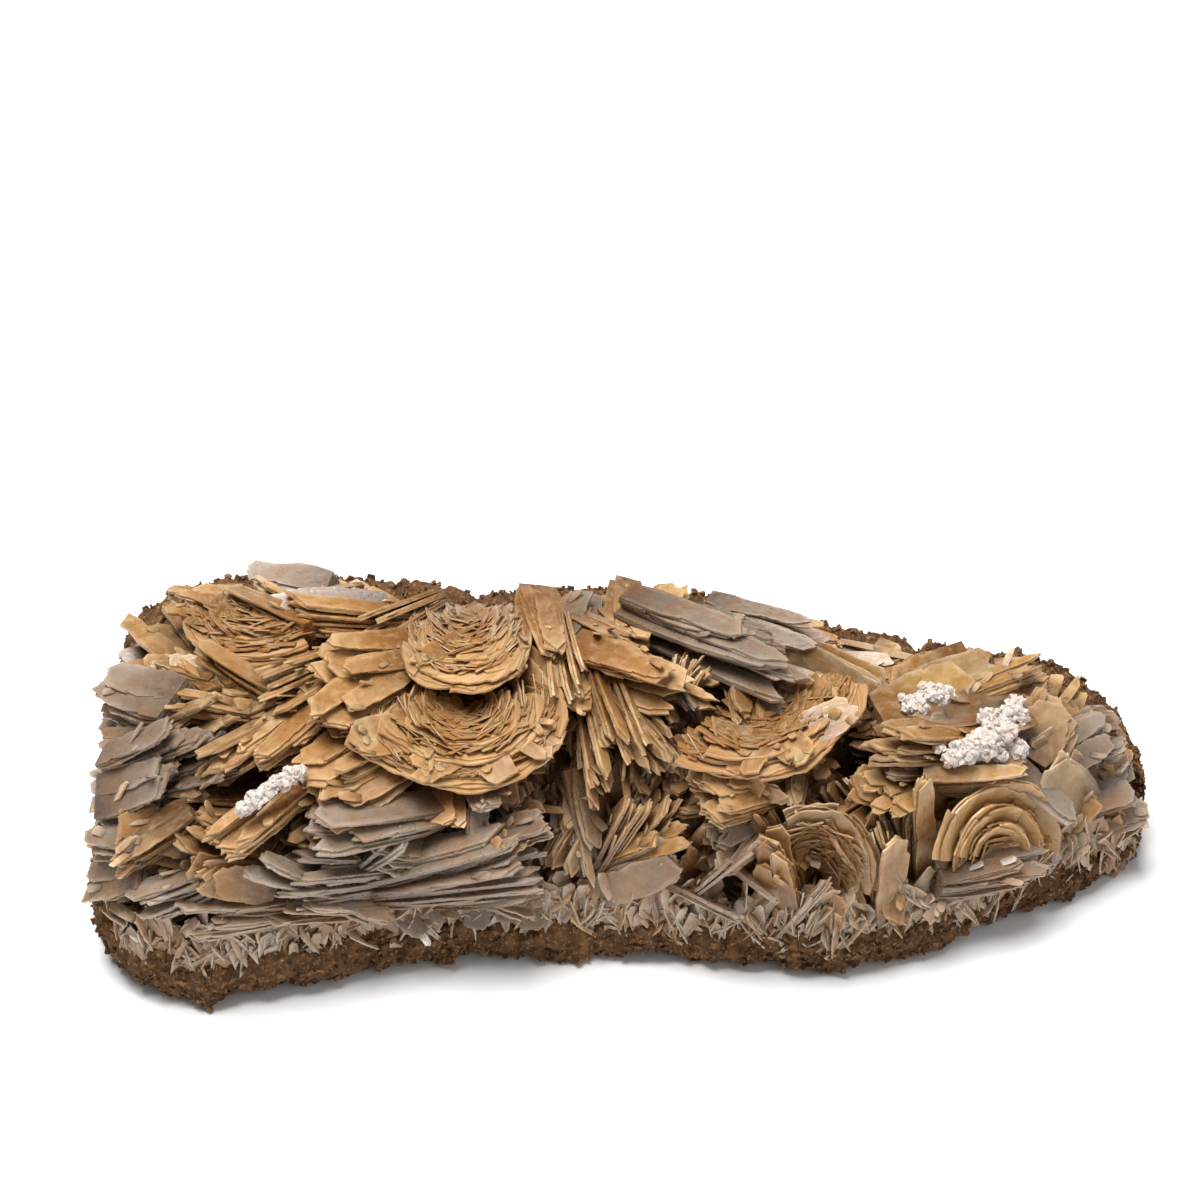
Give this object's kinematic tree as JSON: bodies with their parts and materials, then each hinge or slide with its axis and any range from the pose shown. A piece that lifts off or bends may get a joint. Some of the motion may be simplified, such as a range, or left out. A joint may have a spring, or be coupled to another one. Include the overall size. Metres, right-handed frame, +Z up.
{
  "type": "barite specimen",
  "caption": "Mineral specimen: fans and rosettes of tan and grey bladed barite grown over a slab of brown rock, with small white crusts, resting on its flat foot.",
  "frame": {"origin": "middle of the specimen's outline, on the surface that it rests on", "axes": "+X along its length, to the viewer's right; +Y to the bare rock back; +Z up"},
  "size_m": [0.2049, 0.0867, 0.0605],
  "materials": {
    "brown_rock": null,
    "tan_barite": null,
    "white_crust": null
  },
  "bodies": {
    "root": {"matrix": "brown_rock", "barite_crystals": "tan_barite", "white_crust_upper": "white_crust", "white_crust_lower": "white_crust", "white_crust_left": "white_crust"}
  },
  "joints": []
}
